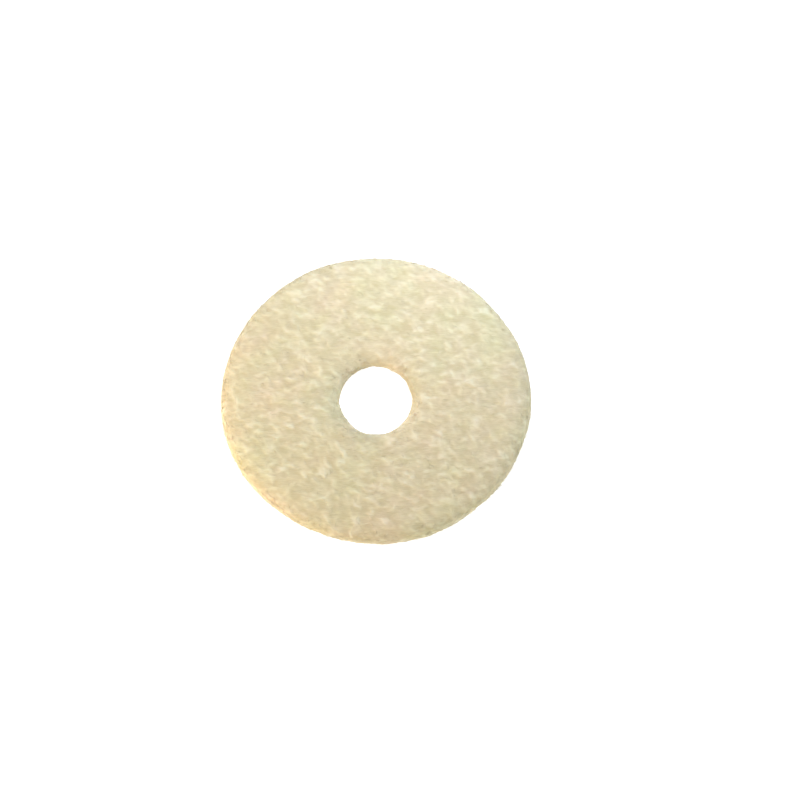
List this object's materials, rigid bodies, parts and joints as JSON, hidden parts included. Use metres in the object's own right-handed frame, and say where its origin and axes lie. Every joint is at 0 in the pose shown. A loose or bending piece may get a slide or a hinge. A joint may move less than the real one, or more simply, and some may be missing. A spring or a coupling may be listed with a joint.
{
  "type": "felt polishing wheel",
  "caption": "Flat round disc of pressed wool felt with a plain central arbor hole and soft rolled edges, for polishing stones and metal.",
  "frame": {"origin": "centre of the arbor hole, in the plane of the back face", "axes": "+Z along the arbor hole, from the back face to the working face; X and Y lie in the back face and are alike, because the wheel is round"},
  "size_m": [0.05, 0.05, 0.003],
  "materials": {
    "felt": "undyed pressed wool felt, matt and fibrous"
  },
  "bodies": {
    "root": {"felt_disc": "felt"}
  },
  "joints": []
}
